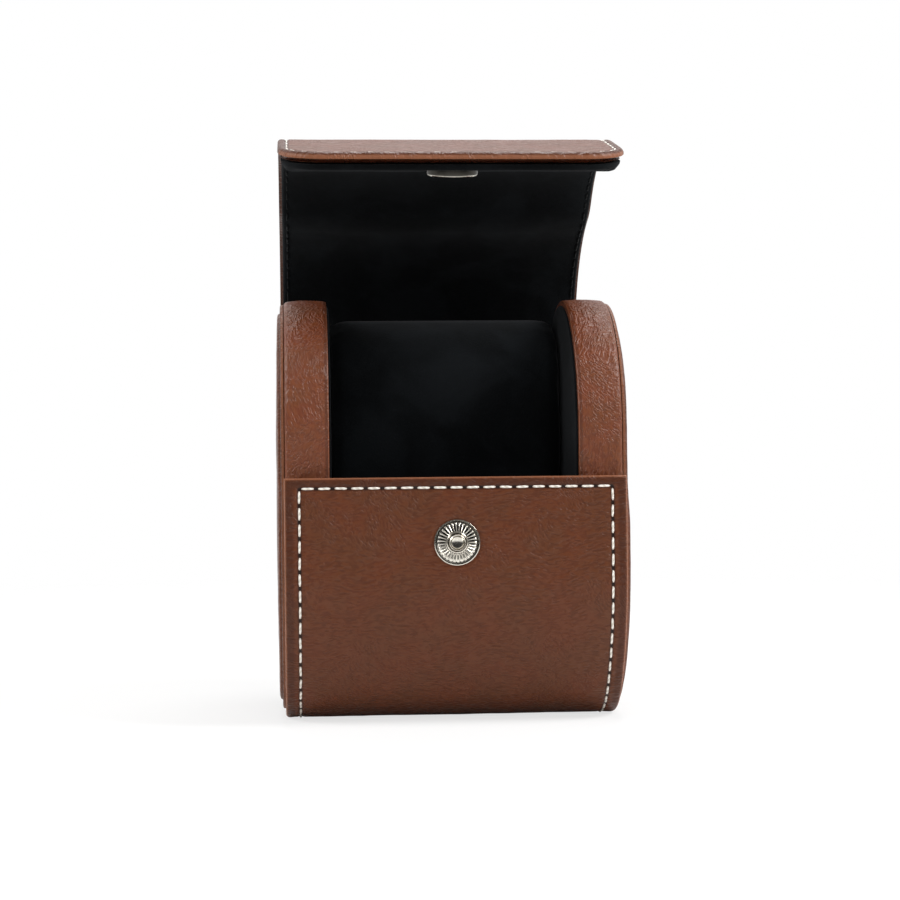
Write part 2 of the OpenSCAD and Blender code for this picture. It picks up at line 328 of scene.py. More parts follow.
def sewing_row(x, start, heading, end, corner):
    """A path on the flat hide, whose second coordinate runs from the front panel's top edge to the flap's end.

    It goes from (x, start) along one side to the line at end, over to the other side and back.
    """
    side, turn = (abs(end - start) - corner, 0, 1), (corner * math.pi / 2, -heading, 1)
    return (x, start), heading, [side, turn, (2 * (-x - corner), 0, 1), turn, side]


def pitches(row):
    """A row's number of stitches, the distance between them and the place of the first needle hole.

    A needle hole falls on the middle of each corner.
    """
    down, turn, across = (run[0] for run in row[2][:3])
    corner = down + turn / 2
    between = round((across + turn) / STITCH_PITCH)
    pitch = (across + turn) / between
    before = int(corner / pitch)
    return between + 2 * before, pitch, corner - before * pitch


class Sewing:
    """Finds how far a place on the hide is from a row of stitches, and where along a stitch it is."""

    def __init__(self, row):
        _, self.pitch, self.first = pitches(row)
        steps = int(length_of(row) / 0.15)
        self.at = [length_of(row) * i / steps for i in range(steps + 1)]
        self.tree = kdtree.KDTree(steps + 1)
        for i, t in enumerate(self.at):
            a, b, _ = along(row, t)
            self.tree.insert((a, b, 0), i)
        self.tree.balance()

    def find(self, x, s):
        _, i, distance = self.tree.find((x, s, 0))
        return distance, (self.at[i] - self.first) / self.pitch


SEWN_FROM = 4  # from the hinge line
CASE_ROW = sewing_row(THREAD_IN - HALF_WRAP, HINGE_AT - SEWN_FROM, -90, 2.5, 0.3)
LID_ROW = sewing_row(LID_THREAD_IN - HALF_LID, HINGE_AT + SEWN_FROM, 90, WHOLE_LENGTH - LID_THREAD_IN,
                     FLAP_CORNER - LID_THREAD_IN)
CASE_SEWING, LID_SEWING = Sewing(CASE_ROW), Sewing(LID_ROW)


# ---- shapes of the wrap, lid and flap

def half_at(s):
    """Half the width of the wrap: the lid is wider than the case."""
    return HALF_WRAP + (HALF_LID - HALF_WRAP) * eased(s, HINGE_AT - 8, HINGE_AT + 3)


def outline_inset(x, s, half):
    """Distance inwards from the wrap's outline, whose flap ends in round corners."""
    side, end = half - abs(x), WHOLE_LENGTH - s
    if side < FLAP_CORNER and end < FLAP_CORNER:
        return FLAP_CORNER - math.hypot(FLAP_CORNER - side, FLAP_CORNER - end)
    return min(side, end, s)


def corner_share(s):
    """The share of the lid's width left at s, where the flap's round corners draw it in."""
    over = s - (WHOLE_LENGTH - FLAP_CORNER)
    if over <= 0:
        return 1.0
    return (HALF_LID - FLAP_CORNER + math.sqrt(max(0.0, FLAP_CORNER ** 2 - over ** 2))) / HALF_LID


def leather_rise(x, s, inset, sewn, turned=TURNED):
    """The outer leather's turned edge, the bead beside it, the sewn groove, the stud's seat, waves and creases."""
    free = eased(inset, 0.6, 2.5) * eased(abs(s - CASE_LENGTH), 0, 2.5)
    seat = 0.55 * (1 - eased(math.hypot(x, s - PANEL_TOP + SNAP_Z), 4.8, 5.9))
    return (0.05 * hump(inset - 1.15, 0.5) - seat - rounded(inset, turned) - 0.22 * hump(sewn, 0.5)
            + free * (hide(x, s) + wrinkles(x, s, 2.0)))


def off_path(path, s, rise, facing):
    """The point beside a path, facing being 1 for the case's inside and -1 for its outside."""
    y, z, heading = along(path, s)
    side = heading + facing * math.pi / 2
    return y + rise * math.cos(side), z + rise * math.sin(side)


def case_leather(u, s, row):
    x = u * half_at(s) / HALF_WRAP
    inset = outline_inset(x, s, half_at(s))
    sewn = min(CASE_SEWING.find(x, s)[0], LID_SEWING.find(x, s)[0])
    y, z = off_path(CASE, s, leather_rise(x, s, inset, sewn), -1)
    # Near the hinge the inset kept for the material is raised, which takes the painted highlight off the edges and
    # puts painted shade along them.
    near_lid = 0.9 * eased(s, HINGE_AT - 30, HINGE_AT)
    return (x, y, z), (x, s), max(inset, near_lid), 1 - rounded(inset, TURNED) / SKIN


def lid_leather(u, s, row):
    s += CASE_LENGTH
    x = u * corner_share(s)
    inset = outline_inset(x, s, HALF_LID)
    at_end = eased(s, WHOLE_LENGTH - FLAP_CORNER - 4, WHOLE_LENGTH - 4)
    turned = TURNED + (FLAP_TURNED - TURNED) * at_end
    y, z = off_path(LID, s - CASE_LENGTH, leather_rise(x, s, inset, LID_SEWING.find(x, s)[0], turned), -1)
    # Along the lid's sides the inset is raised the same way, for painted shade in place of the painted edge
    # highlight.
    return (x, y, z), (x, s), max(inset, 0.9 * (1 - at_end)), 1 - rounded(inset, turned) / SKIN


def sewing_map(piece, *rows):
    """A second flat map: how far each place is from the nearest row of stitches, and where along it."""
    cut = piece.data.uv_layers["cut"].data
    made = piece.data.uv_layers.new(name="sewing")
    for i, place in enumerate(cut):
        made.data[i].uv = min(row.find(place.uv.x / MM, place.uv.y / MM) for row in rows)


# ---- shapes of the rims and panels

# Across a rim: up from behind the velvet, over the folded inner edge, along the crown and down the outside.
RIM_SECTION = ((HALF_IN - 0.15, -3.4), 90, [
    (2.9, 0, 0.5), bend(0.5, -84, 0.15), bend(9.3 / math.radians(12), -12, 0.42), bend(1.1, -84, 0.2),
    (1.8, 0, 0.45)])


def rim(side):
    """The padded leather rim of one end wall. Where the wrap covers it, it swells out to carry the wrap."""
    path = wall_path(0, 0.45, 1.5)
    whole = length_of(path)
    wrapped_front, wrapped_back, most = 56.5 + FLAT, 56.0 + FLAT, 2.25

    def place(u, s, row):
        x, height, lean = along(RIM_SECTION, u)
        swell = most * max(1 - eased(s, wrapped_front, wrapped_front + 5),
                           eased(s, whole - wrapped_back, whole - wrapped_back + 5))
        swell *= eased(u, 1.5, 3.2)
        grain = (hide(u * 2, s, 11 + 7 * side) + 0.2 * wrinkles(u, s, 40 + 9 * side, 0.6)) * eased(u, 2.6, 4.2)
        grain *= eased(length_of(RIM_SECTION) - u, 1.5, 3.4)
        x -= grain * math.sin(lean)
        y, z = off_path(path, s, height + swell + grain * math.cos(lean), 1)
        # The folded inner edge has the least inset, so the leather paints its edge highlight there and painted
        # shade beside it.
        return (side * x, y, z), (u + 100 + 60 * side, s), min(2.4 * abs(u - 3.3) + 0.1, 9), 1.0

    piece = drawn_sheet("left_rim" if side < 0 else "right_rim", path, rows_of(RIM_SECTION), place)
    return thickened(piece, 1.0, lambda centre: (0, centre.y, centre.z - 0.06))


def beside_wrap(s, whole):
    """How far a side panel reaches out past the end wall's outline, over the edge of the wrap."""
    front, back, most = s - FLAT - 52.0, whole - s - FLAT - 36.5, 3.4
    return most * (1 - eased(front, 0, 14)) if s < whole / 2 else most * (1 - eased(back, 0, 4.5))


def panel(name, side, profile, steps, crown, unevenness, plain, thickness, faces, over_wrap):
    """A panel as wide as an end wall. profile gives depth under the outline and X, from its edge inwards,
    and past the last depth the rings close on the wall's middle in a number of steps, with a crown.

    The rings up to number plain are left even. faces is 1 for a panel that faces outwards and -1 for inwards.
    """
    middle_z = 58.0
    rings = [(depth, x, 1.0) for depth, x in profile]
    last = profile[-1]
    rings += [(last[0], last[1] + crown * math.sin(math.pi / 2 * i / steps), 1 - i / steps)
              for i in range(1, steps + 1)]
    paths = [wall_path(depth) for depth, _, _ in rings]
    stations = [rows_of(path) for path in paths]
    outline = rows_of(wall_path(0))

    def place(u, s, row):
        k = round(u)
        depth, x, share = rings[k]
        past = over_wrap * beside_wrap(outline[row], outline[-1]) * (1 - eased(depth, 5, 14))
        y, z = off_path(paths[k], stations[k][row], past, 1)
        y, z = y * share, middle_z + (z - middle_z) * share
        rise = unevenness * (hide(y, z, 30 + side) + wrinkles(y, z, 50 + side)) if k > plain else 0
        # On leather panels the small inset near the edge gives the painted edge highlight and the painted shade
        # beside it.
        inset = 0.25 + 1.5 * (depth - profile[0][0]) + 20 * (1 - share)
        return (side * (x + rise), y, z), (y + 300 * side, z), inset, 1.0

    piece = drawn_sheet(name, paths[0], list(range(len(rings))), place)
    return thickened(merged(piece), thickness, lambda centre: (faces * side, 0, 0))


# ---- materials

def colour(code):
    """An sRGB hex colour as the linear RGBA that shaders take."""
    parts = [int(code[i:i + 2], 16) / 255 for i in (1, 3, 5)]
    return tuple(c / 12.92 if c <= 0.04045 else ((c + 0.055) / 1.055) ** 2.4 for c in parts) + (1.0,)


def node(tree, kind, links=None, pick=0, **settings):
    """Adds a shader node with its settings, and gives one of its outputs.

    links gives each input a value or another node's output.
    """
    made = tree.nodes.new("ShaderNode" + kind)
    for name, value in settings.items():
        setattr(made, name, value)
    for socket, value in (links or {}).items():
        if isinstance(value, bpy.types.NodeSocket):
            tree.links.new(value, made.inputs[socket])
        else:
            made.inputs[socket].default_value = value
    return made.outputs[pick]


def new_material(name, **surface):
    """A material with its Principled shader's constants, its node tree and its shader."""
    made = bpy.data.materials.new(name)
    made.use_nodes = True
    shader = made.node_tree.nodes["Principled BSDF"]
    for socket, value in surface.items():
        shader.inputs[socket.replace("_", " ")].default_value = value
    return made, made.node_tree, shader


def stepped(tree, value, low, high, to_low=0.0, to_high=1.0):
    """Maps a value's range smoothly onto another."""
    return node(tree, "MapRange", {0: value, 1: low, 2: high, 3: to_low, 4: to_high},
                interpolation_type="SMOOTHSTEP")


def mixed(tree, share, a, b):
    """One of two colours, or between them."""
    return node(tree, "Mix", {0: share, 6: a, 7: b}, 2, data_type="RGBA")


def calc(tree, a, b, way="ADD"):
    return node(tree, "Math", {0: a, 1: b}, operation=way)


def times(tree, a, b):
    return calc(tree, a, b, "MULTIPLY")


def cloud(tree, place, scale, detail, **more):
    """A noise between 0 and 1."""
    return node(tree, "TexNoise", {"Vector": place, "Scale": scale, "Detail": detail, **more})


def emboss(tree, shader, height, strength, distance):
    bump = node(tree, "Bump", {"Height": height, "Strength": strength, "Distance": distance})
    tree.links.new(bump, shader.inputs["Normal"])


def needle_shade(tree):
    """How much painted shade the hide gets beside and between stitches: (in the sewn groove, in the needle holes).
    """
    away, run, _ = node(tree, "SeparateXYZ", {0: node(tree, "UVMap", uv_map="sewing")}).node.outputs
    beside = stepped(tree, away, 0.25, 0.85, 1.0, 0.0)
    in_hole = stepped(tree, calc(tree, run, 0.5, "PINGPONG"), 0.07, 0.17, 1.0, 0.0)
    return beside, times(tree, in_hole, stepped(tree, away, 0.2, 0.6, 1.0, 0.0))


def leather(name, base, red, dark, light, lay, shine=0.26, sewn=True):
    """Embossed calf leather, pigment dyed, with a thin satin lacquer.

    The plate leaves fine wavy ridges about 1 mm apart, which run across the hide and wander, with pores
    between them. The colour drifts between red and brown over a few centimetres. Painted shade darkens
    the creases, a band beside the edges, the sewn groove and the needle holes, and a painted highlight
    lightens the folded edges and the tops of ridges.
    """
    made, tree, shader = new_material(name, Roughness=0.4, Specular_IOR_Level=shine)
    cut = node(tree, "UVMap", uv_map="cut")
    place = node(tree, "VectorMath", {0: cut, 3: 1 / MM}, operation="SCALE")
    drift, shiver = cloud(tree, place, 0.055, 1.5), cloud(tree, place, 0.42, 1.0)
    flow = place
    for bent, reach in ((drift, 7.0), (shiver, 0.7)):
        moved = node(tree, "VectorMath", {0: bent.node.outputs["Color"], 3: reach}, operation="SCALE")
        flow = node(tree, "VectorMath", {0: flow, 1: moved}, operation="ADD")
    creases = []
    for scale, turn in (((1.6, 0.55, 1.0), lay), ((0.9, 0.52, 1.0), lay + 0.9)):
        laid = node(tree, "Mapping", {"Vector": flow, "Scale": scale, "Rotation": (0, 0, turn)},
                    vector_type="TEXTURE")
        creases.append(cloud(tree, laid, 1.0, 1.0, Roughness=0.4))
    patches = stepped(tree, drift, 0.50, 0.60)
    crease = node(tree, "Mix", {0: patches, 2: creases[0], 3: creases[1]}, data_type="FLOAT")
    ridge = stepped(tree, crease, 0.43, 0.57)
    strong = stepped(tree, shiver, 0.35, 0.6, 0.35, 1.0)
    fine = calc(tree, times(tree, crease, 0.7), times(tree, cloud(tree, place, 3.2, 2.0), 0.12))
    emboss(tree, shader, times(tree, calc(tree, times(tree, ridge, 0.38), fine), strong), 0.8, 0.00030)
    cloudy = stepped(tree, cloud(tree, place, 0.10, 3.0), 0.35, 0.65)
    body = mixed(tree, cloudy, colour(red), colour(base))
    # Painted highlight: the tops of ridges are mixed towards the light colour.
    ridge_highlight = mixed(tree, times(tree, ridge, 0.22), body, colour(light))
    # Painted shade: the crease valleys are mixed towards the dark colour.
    low = times(tree, stepped(tree, crease, 0.34, 0.50, 0.26, 0.0), strong)
    crease_shade = mixed(tree, low, ridge_highlight, colour(dark))
    inset = node(tree, "Attribute", pick="Fac", attribute_name="inset")
    # Painted shade in a band just inside the leather's edges.
    edge_band_shade = times(tree, stepped(tree, inset, 0.35, 0.7), stepped(tree, inset, 1.7, 2.7, 0.5, 0.0))
    shaded = mixed(tree, edge_band_shade, crease_shade, colour(dark))
    # Painted highlight along the folded edges, where the inset is least.
    shown = mixed(tree, stepped(tree, inset, 0.15, 0.45, 0.6, 0.0), shaded, colour("#9C664A"))
    if sewn:
        # Painted shade in the sewn groove, and near-black painted shade in the needle holes.
        beside, hole = needle_shade(tree)
        shown = mixed(tree, times(tree, beside, 0.45), shown, colour(dark))
        shown = mixed(tree, times(tree, hole, 0.93), shown, colour("#120805"))
    tree.links.new(shown, shader.inputs["Base Color"])
    tree.links.new(stepped(tree, crease, 0.3, 0.7, 0.46, 0.36), shader.inputs["Roughness"])
    return made


def velvet(name, base, lit):
    """Black cotton velvet: a dense short pile that drinks the light. It greys where it is seen along the pile by
    the shader's sheen; where its pile has been stroked the other way, and on its tufts, a lighter grey is
    painted into its colour as a painted sheen."""
    made, tree, shader = new_material(name, Roughness=1.0, Specular_IOR_Level=0.05, Sheen_Weight=0.12,
                                      Sheen_Roughness=0.45)
    shader.inputs["Sheen Tint"].default_value = colour("#9A9CA0")
    place = node(tree, "TexCoord", pick="Object")
    # Painted sheen: stroked patches of pile and the tufts are mixed towards the lighter grey.
    stroked_sheen = stepped(tree, cloud(tree, place, 60.0, 3.0, Distortion=0.6), 0.4, 0.7)
    # The pile's tufts are about 0.1 mm apart, drawn at 0.35 mm so that they still show.
    tufts = cloud(tree, place, 2900.0, 1.0)
    share = calc(tree, stroked_sheen, times(tree, tufts, 0.5))
    tree.links.new(mixed(tree, share, colour(base), colour(lit)), shader.inputs["Base Color"])
    emboss(tree, shader, tufts, 0.5, 0.0002)
    return made


def thread(name, base, dark, shine):
    """Waxed polyester sewing thread: two plies twisted together, so light and dark run slantwise; the dark between
    the plies is painted shade.
    """
    made, tree, shader = new_material(name, Roughness=0.6, Specular_IOR_Level=shine)
    cut = node(tree, "UVMap", uv_map="cut")
    twist = node(tree, "TexWave", {"Vector": cut, "Scale": 420.0, "Distortion": 0.6, "Detail": 1.0}, "Fac",
                 wave_type="BANDS", bands_direction="DIAGONAL")
    # Painted shade between the twisted plies.
    tree.links.new(mixed(tree, twist, colour(dark), colour(base)), shader.inputs["Base Color"])
    emboss(tree, shader, twist, 0.6, 0.0001)
    return made


def nickel(name, base, dull, rough):
    """Nickel-plated brass, stamped and barrel polished: bright, with a faint cloudy haze, and with painted shade
    in its grooves and hollows."""
    made, tree, shader = new_material(name, Metallic=1.0)
    place = node(tree, "TexCoord", pick="Object")
    haze = cloud(tree, place, 900.0, 4.0, Roughness=0.65)
    plate = mixed(tree, stepped(tree, haze, 0.35, 0.7), colour(base), colour(dull))
    # Painted shade in the grooves and hollows, kept on the vertices.
    hollow_shade = node(tree, "Attribute", pick="Fac", attribute_name="painted_hollow_shade")
    tree.links.new(mixed(tree, hollow_shade, plate, colour("#1B1916")), shader.inputs["Base Color"])
    tree.links.new(stepped(tree, haze, 0.3, 0.7, rough, rough + 0.10), shader.inputs["Roughness"])
    emboss(tree, shader, haze, 0.15, 0.00004)
    return made


def pressed(name, base, fleck, size, depth):
    """Fibreboard or foam: matte, with a fine random fleck of fibres or cells."""
    made, tree, shader = new_material(name, Roughness=0.95, Specular_IOR_Level=0.2)
    place = node(tree, "TexCoord", pick="Object")
    cells = node(tree, "TexVoronoi", {"Vector": place, "Scale": 1000.0 / size}, "Distance")
    shown = mixed(tree, stepped(tree, cells, 0.2, 0.8), colour(base), colour(fleck))
    tree.links.new(shown, shader.inputs["Base Color"])
    emboss(tree, shader, cells, 0.6, depth * MM)
    return made


WRAP_LEATHER = leather("embossed_leather_wrap", "#582F19", "#5D2E17", "#36180B", "#6B4027", 0.0)
PANEL_LEATHER = leather("embossed_leather_side", "#582F19", "#5D2E17", "#36180B", "#6B4027", 0.0, sewn=False)
# The rims' leather is the wrap's leather made lighter and warmer, as painted light for the light they catch.
LIT_RIM_LEATHER = leather("embossed_leather_rim", "#6A3920", "#6F361D", "#472110", "#7E4C2D", 1.35, 0.45, sewn=False)
VELVET = velvet("black_velvet", "#08090A", "#121416")
WHITE_THREAD = thread("waxed_white_thread", "#F4EFE7", "#CFC7BB", 0.35)
BLACK_THREAD = thread("waxed_black_thread", "#0E1012", "#060708", 0.08)
NICKEL = nickel("polished_nickel", "#E2DDD3", "#C4BFB4", 0.13)
FOAM = pressed("open_cell_foam", "#4A4A4D", "#2E2E30", 0.8, 0.2)
BOARD = pressed("grey_fibreboard", "#8D7A5F", "#6F5F49", 0.5, 0.05)


def dress(piece, material):
    piece.data.materials.clear()
    piece.data.materials.append(material)
    return piece


def stand_in(piece, material, slot, *nodes):
    """Dresses a piece, and hides the solids that it replaces; its material slot is not used."""
    dress(piece, material)
    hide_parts(*nodes)


# ---- the wrap, lid and flap

def away_from(y, z, way=1):
    """Points a face of a sheet away from a line along X inside of it, or towards that line where way is -1."""
    return lambda centre: (0, way * (centre.y - y), way * (centre.z - z))


IN_CASE, IN_LID = (0.0, 0.05), (0.022, 0.088)
# Where the leather begins and ends to bend at the hinge and at the crease.
HINGE_START, HINGE_END = (0, 0.0388, 0.0462), (0, 0.0413, 0.0533)
CREASE_START, CREASE_END = (0, 0.0345, 0.124), (0, 0.0177, 0.1325)

wrap = drawn_sheet("wrap_leather", CASE, spread(HALF_WRAP, EDGES, 0.75), case_leather)
thickened(wrap, SKIN, away_from(*IN_CASE))
sewing_map(wrap, CASE_SEWING, LID_SEWING)
stand_in(wrap, WRAP_LEATHER, "tan_leather", "body_leather", "body_board")
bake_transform(wrap)

lid = drawn_sheet("lid_and_flap_leather", LID, spread(HALF_LID, EDGES, 0.75), lid_leather)
thickened(lid, SKIN, away_from(*IN_LID))
sewing_map(lid, LID_SEWING)
stand_in(lid, WRAP_LEATHER, "tan_leather", "lid_leather", "lid_board", "flap_leather", "flap_board")
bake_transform(lid)


# ---- the velvet linings

def velvet_rise(x, s, inset, seed):
    """The lining's soft rounded edge and the slack of velvet over thin foam."""
    slack = 0.16 * waves(x, s, seed, 15, 12) + 0.07 * waves(x, s, seed + 4, 5, 6)
    return eased(inset, 0.5, 3.5) * slack - rounded(inset, PADDED)


CASE_LINING = inward(((FRONT, PANEL_TOP - 0.8), -90, [
    (0.4, 0, 0.15), (2.0, 0, 0.4), (18.4, 0, 1.0), *[(length, turn, 1.2) for length, turn, _ in ROUND_BOTTOM],
    (8.4, 0, 1.0)]), WRAP)
HINGE_LINING = inward(((LID_R, 46.5), 90, [
    (3.5 - HINGE_RUN, 0, 0.5), bend(HINGE_BEND, -LID_OPEN, 0.5), (JOIN - HINGE_RUN, 0, 0.8)]), LID_WRAP)
LID_LINING_PATH = inward(LID, LID_WRAP)
SOCKET_AT, SOCKET_HOLE = (0, WHOLE_LENGTH - 8), 6.2


def case_velvet(u, s, row):
    inset = min(HALF_IN - abs(u), s)
    y, z = off_path(CASE_LINING, s, velvet_rise(u, s, inset, 60), 1)
    return (u, y, z), (u, s), inset, 1 - rounded(inset, PADDED) / LINING


def hinge_velvet(u, s, row):
    side, near_lid = HALF_LINING - abs(u), 1 - eased(length_of(HINGE_LINING) - s, 0, 3)
    inset = min(side, s + 0.4)
    rise = velvet_rise(u, s, inset, 61) * (1 - near_lid) - rounded(side, PADDED) * near_lid
    y, z = off_path(HINGE_LINING, s, rise, 1)
    return (u, y, z), (u, s), inset, 1 - rounded(inset, PADDED) / LID_LINING


def holed(piece, centre, radius):
    """Cuts a hole in a sheet, about a place on its flat map."""
    flat = piece.data.uv_layers["cut"].data
    doomed = {polygon.index for polygon in piece.data.polygons
              if all((flat[loop].uv / MM - Vector(centre)).length < radius for loop in polygon.loop_indices)}
    edit(piece)
    mesh = bmesh.from_edit_mesh(piece.data)
    bmesh.ops.delete(mesh, geom=[face for face in mesh.faces if face.index in doomed], context="FACES")
    bmesh.update_edit_mesh(piece.data)
    close()
    return piece


def lid_velvet(u, s, row):
    outer = CASE_LENGTH + rows_of(LID)[row]
    x = u * corner_share(outer)
    inset = outline_inset(x * HALF_LID / HALF_LINING, outer, HALF_LID)
    edge = rounded(inset, PADDED)
    free = eased(s, 0, 3)
    rise = free * (velvet_rise(x, s, inset, 62) + edge) - edge
    sewn = 0.35 * hump(HALF_LID - LID_THREAD_IN - abs(x), 0.8)
    sewn -= 1.3 * eased(outer, WHOLE_LENGTH - 55, WHOLE_LENGTH - 35) * eased(inset, 0.2, 1.6)
    sewn += 0.45 * eased(abs(x), 27.5, 30) * (1 - eased(outer, WHOLE_LENGTH - 78, WHOLE_LENGTH - 70))
    end = LINING_IN * eased(outer, WHOLE_LENGTH - FLAP_CORNER, WHOLE_LENGTH)
    y, z = off_path(LID_LINING_PATH, s - end, rise - sewn * eased(WHOLE_LENGTH - outer, 4, 12), 1)
    return (x, y, z), (x, outer), inset, 1 - edge / LID_LINING


for name, path, half, place, depth, line, nodes, ends in (
    ("case_lining", CASE_LINING, HALF_IN - 0.1, case_velvet, LINING, IN_CASE, ["body_lining"], None),
    ("hinge_lining", HINGE_LINING, HALF_LINING, hinge_velvet, LID_LINING, IN_CASE, [],
     ("case", "lid", HINGE_START, HINGE_END)),
    ("lid_lining_velvet", LID_LINING_PATH, HALF_LINING, lid_velvet, LID_LINING, IN_LID,
     ["lid_lining", "flap_lining"], ("lid", "flap", CREASE_START, CREASE_END)),
):
    piece = drawn_sheet(name, path, spread(half, LINING_EDGES, 1.1), place)
    if place is lid_velvet:
        holed(piece, SOCKET_AT, SOCKET_HOLE)
    thickened(piece, depth, away_from(*line, -1))
    stand_in(piece, VELVET, "black_velvet", *nodes)
    if ends:
        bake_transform(piece)
    else:
        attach(piece, "case")


# ---- the end walls

SIDE_PROFILE = [
    (0.8, 40.9), (0.8, 41.3), (0.86, 41.5), (1.05, 41.64), (1.35, 41.7), (1.8, 41.72), (2.25, 41.7),
    (2.5, 41.62), (2.65, 41.45), (2.8, 41.4), (2.95, 41.5), (3.0, 41.8), (3.08, 42.05), (3.3, 42.25),
    (3.7, 42.38), (4.3, 42.44), *[(5.2 + i, 42.46 + 0.025 * i) for i in range(11)]]
LINING_PROFILE = [(1.3, 30.15), (1.3, 29.85), (1.42, 29.7), (1.7, 29.6), (2.3, 29.56),
                  *[(3.3 + 1.3 * i, 29.56) for i in range(10)]]

for side, word in ((-1, "left"), (1, "right")):
    for piece, nodes, material, slot in (
        (rim(side), [word + "_rim_leather", word + "_wall_core"], LIT_RIM_LEATHER, "tan_leather"),
        (panel(word + "_side", side, SIDE_PROFILE, 14,
               crown=0.25, unevenness=1.0, plain=13, thickness=0.9, faces=1, over_wrap=1),
         [word + "_side_panel"], PANEL_LEATHER, "tan_leather"),
        (panel(word + "_wall_velvet", side, LINING_PROFILE, 10,
               crown=0.0, unevenness=-0.5, plain=5, thickness=0.4, faces=-1, over_wrap=0),
         [word + "_wall_lining"], VELVET, "black_velvet"),
    ):
        stand_in(piece, material, slot, *nodes)
        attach(piece, "case")


# ---- the pillow and the base cushion

PILLOW_Y, PILLOW_R, PILLOW_LOW, PILLOW_HIGH = 10.0, 19.0, 57.5, 81.5
SEAM_AT = HALF_PILLOW - 1.5


def pillow_line(radius):
    """The pillow's side view: round at the top and the bottom, from the middle of its front upwards."""
    middle = (PILLOW_LOW + PILLOW_HIGH) / 2
    half, step = (PILLOW_HIGH - PILLOW_LOW) / 2, 1.6
    return (PILLOW_Y - radius, middle), 90, [
        (half, 0, step), bend(radius, -180, step), (2 * half, 0, step), bend(radius, -180, step), (half, 0, step)]


def drum(name, path, half, step, round_edge):
    """A closed block as wide as 2 half, whose side view is the path, with rounded edges."""
    falls = [(round_edge * (1 - math.cos(math.radians(a))), round_edge * (1 - math.sin(math.radians(a))))
             for a in range(0, 91, 18)]
    count = round(2 * (half - round_edge) / step)
    rings = [(-half + out, depth) for out, depth in falls]
    rings += [(-half + round_edge + 2 * (half - round_edge) * i / count, 0) for i in range(1, count)]
    rings += [(half - out, depth) for out, depth in reversed(falls)]
    lines = [inward(path, -depth) for _, depth in rings]

    def place(u, s, row):
        x, depth = rings[round(u)]
        y, z, _ = along(lines[round(u)], rows_of(lines[round(u)])[row])
        return (x, y, z), (x, s), 9.0, 1.0

    piece = drawn_sheet(name, path, list(range(len(rings))), place)
    merged(piece)
    edit(piece, "DESELECT")
    bpy.ops.mesh.select_non_manifold()
    bpy.ops.mesh.fill_holes(sides=0)
    close()
    return merged(piece)


def stuffed(piece, pressure, cap):
    """Blows a closed mesh up like a stuffed cushion, no point moving further than cap."""
    finish_with(piece, "REMESH", mode="VOXEL", voxel_size=2.6 * MM)
    start = [vertex.co.copy() for vertex in piece.data.vertices]
    cloth = piece.modifiers.new("Cloth", "CLOTH").settings
    cloth.use_pressure = True
    cloth.uniform_pressure_force = pressure
    cloth.effector_weights.gravity = 0
    for frame_number in range(1, 21):
        bpy.context.scene.frame_set(frame_number)
    select(piece)
    bpy.ops.object.modifier_apply(modifier="Cloth")
    bpy.context.scene.frame_set(1)
    for vertex, place in zip(piece.data.vertices, start):
        moved = vertex.co - place
        if moved.length > cap * MM:
            vertex.co = place + moved.normalized() * cap * MM
    finish_with(piece, "SUBSURF", levels=1, render_levels=1)
    return piece


def kept_inside(piece, half, radius):
    """Draws a pillow's points in to its space: half its width, and the radius of its side view."""
    for vertex in piece.data.vertices:
        x, y, z = vertex.co / MM
        middle = min(max(z, PILLOW_LOW), PILLOW_HIGH)
        away = math.hypot(y - PILLOW_Y, z - middle)
        seam = 0.55 * hump(abs(x) - SEAM_AT, 0.55) * (1 + 0.5 * noise.noise(Vector((y / 2.2, z / 2.2, x))))
        slack = 0.14 * noise.noise(Vector((x / 9, y / 9, z / 9))) - 0.14
        reach = radius * (1 - 0.006 * (abs(x) / half) ** 4) + slack
        fit = min(1.0, reach / away) if away > 0 else 1.0
        fit *= 1 - seam / max(away, 8.0) if away > radius - 3.5 else 1.0
        x = max(-half, min(half, x))
        vertex.co = Vector((x, PILLOW_Y + (y - PILLOW_Y) * fit, middle + (z - middle) * fit)) * MM


pillow = drum("pillow_cushion", pillow_line(PILLOW_R - 0.7), HALF_PILLOW - 0.5, 2.4, 1.3)
stuffed(pillow, pressure=4, cap=3)
kept_inside(pillow, HALF_PILLOW - 0.05, PILLOW_R - 0.05)
smooth(pillow, 60)
stand_in(pillow, VELVET, "black_velvet", "pillow_core", "pillow_cover", "pillow_left_end", "pillow_right_end")
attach(pillow, "pillow")


BASE_TOP, BASE_CORNER, BASE_GAP = 38.1, 2.5, 0.15


def base_line():
    """The base cushion's side view: back along its top, then round the case's bottom to the front."""
    wide, tight = WIDE_R - WRAP - BASE_GAP, TIGHT_R - WRAP - BASE_GAP
    drop = math.asin((38 - BASE_TOP + BASE_CORNER) / (wide - BASE_CORNER))
    half = -FRONT - WRAP - BASE_GAP - wide + (wide - BASE_CORNER) * math.cos(drop)
    turn, step = math.degrees(drop), 1.5
    back = [bend(BASE_CORNER, -90 - turn, 0.6), bend(wide, turn - CORNER, step), bend(tight, CORNER - 90, step)]
    return (0, BASE_TOP), 0, [(half, 0, step)] + back + [(2 * FLAT, 0, step)] + back[::-1] + [(half, 0, step)]


base = drum("base_cushion_velvet", base_line(), HALF_PILLOW - 0.05, 1.6, 2.2)
for vertex in base.data.vertices:
    x, y, z = vertex.co / MM
    seam = hump(abs(x) - 26, 0.7) * hump(z - BASE_TOP, 2)
    dip = 0.35 + 0.3 * noise.noise(Vector((x / 8, y / 8, 3))) + 0.5 * seam
    vertex.co.z -= dip * MM * eased(z, 30, 36)
smooth(base, 60)
stand_in(base, VELVET, "black_velvet", "base_cushion")
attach(base, "case")


# ---- the snap

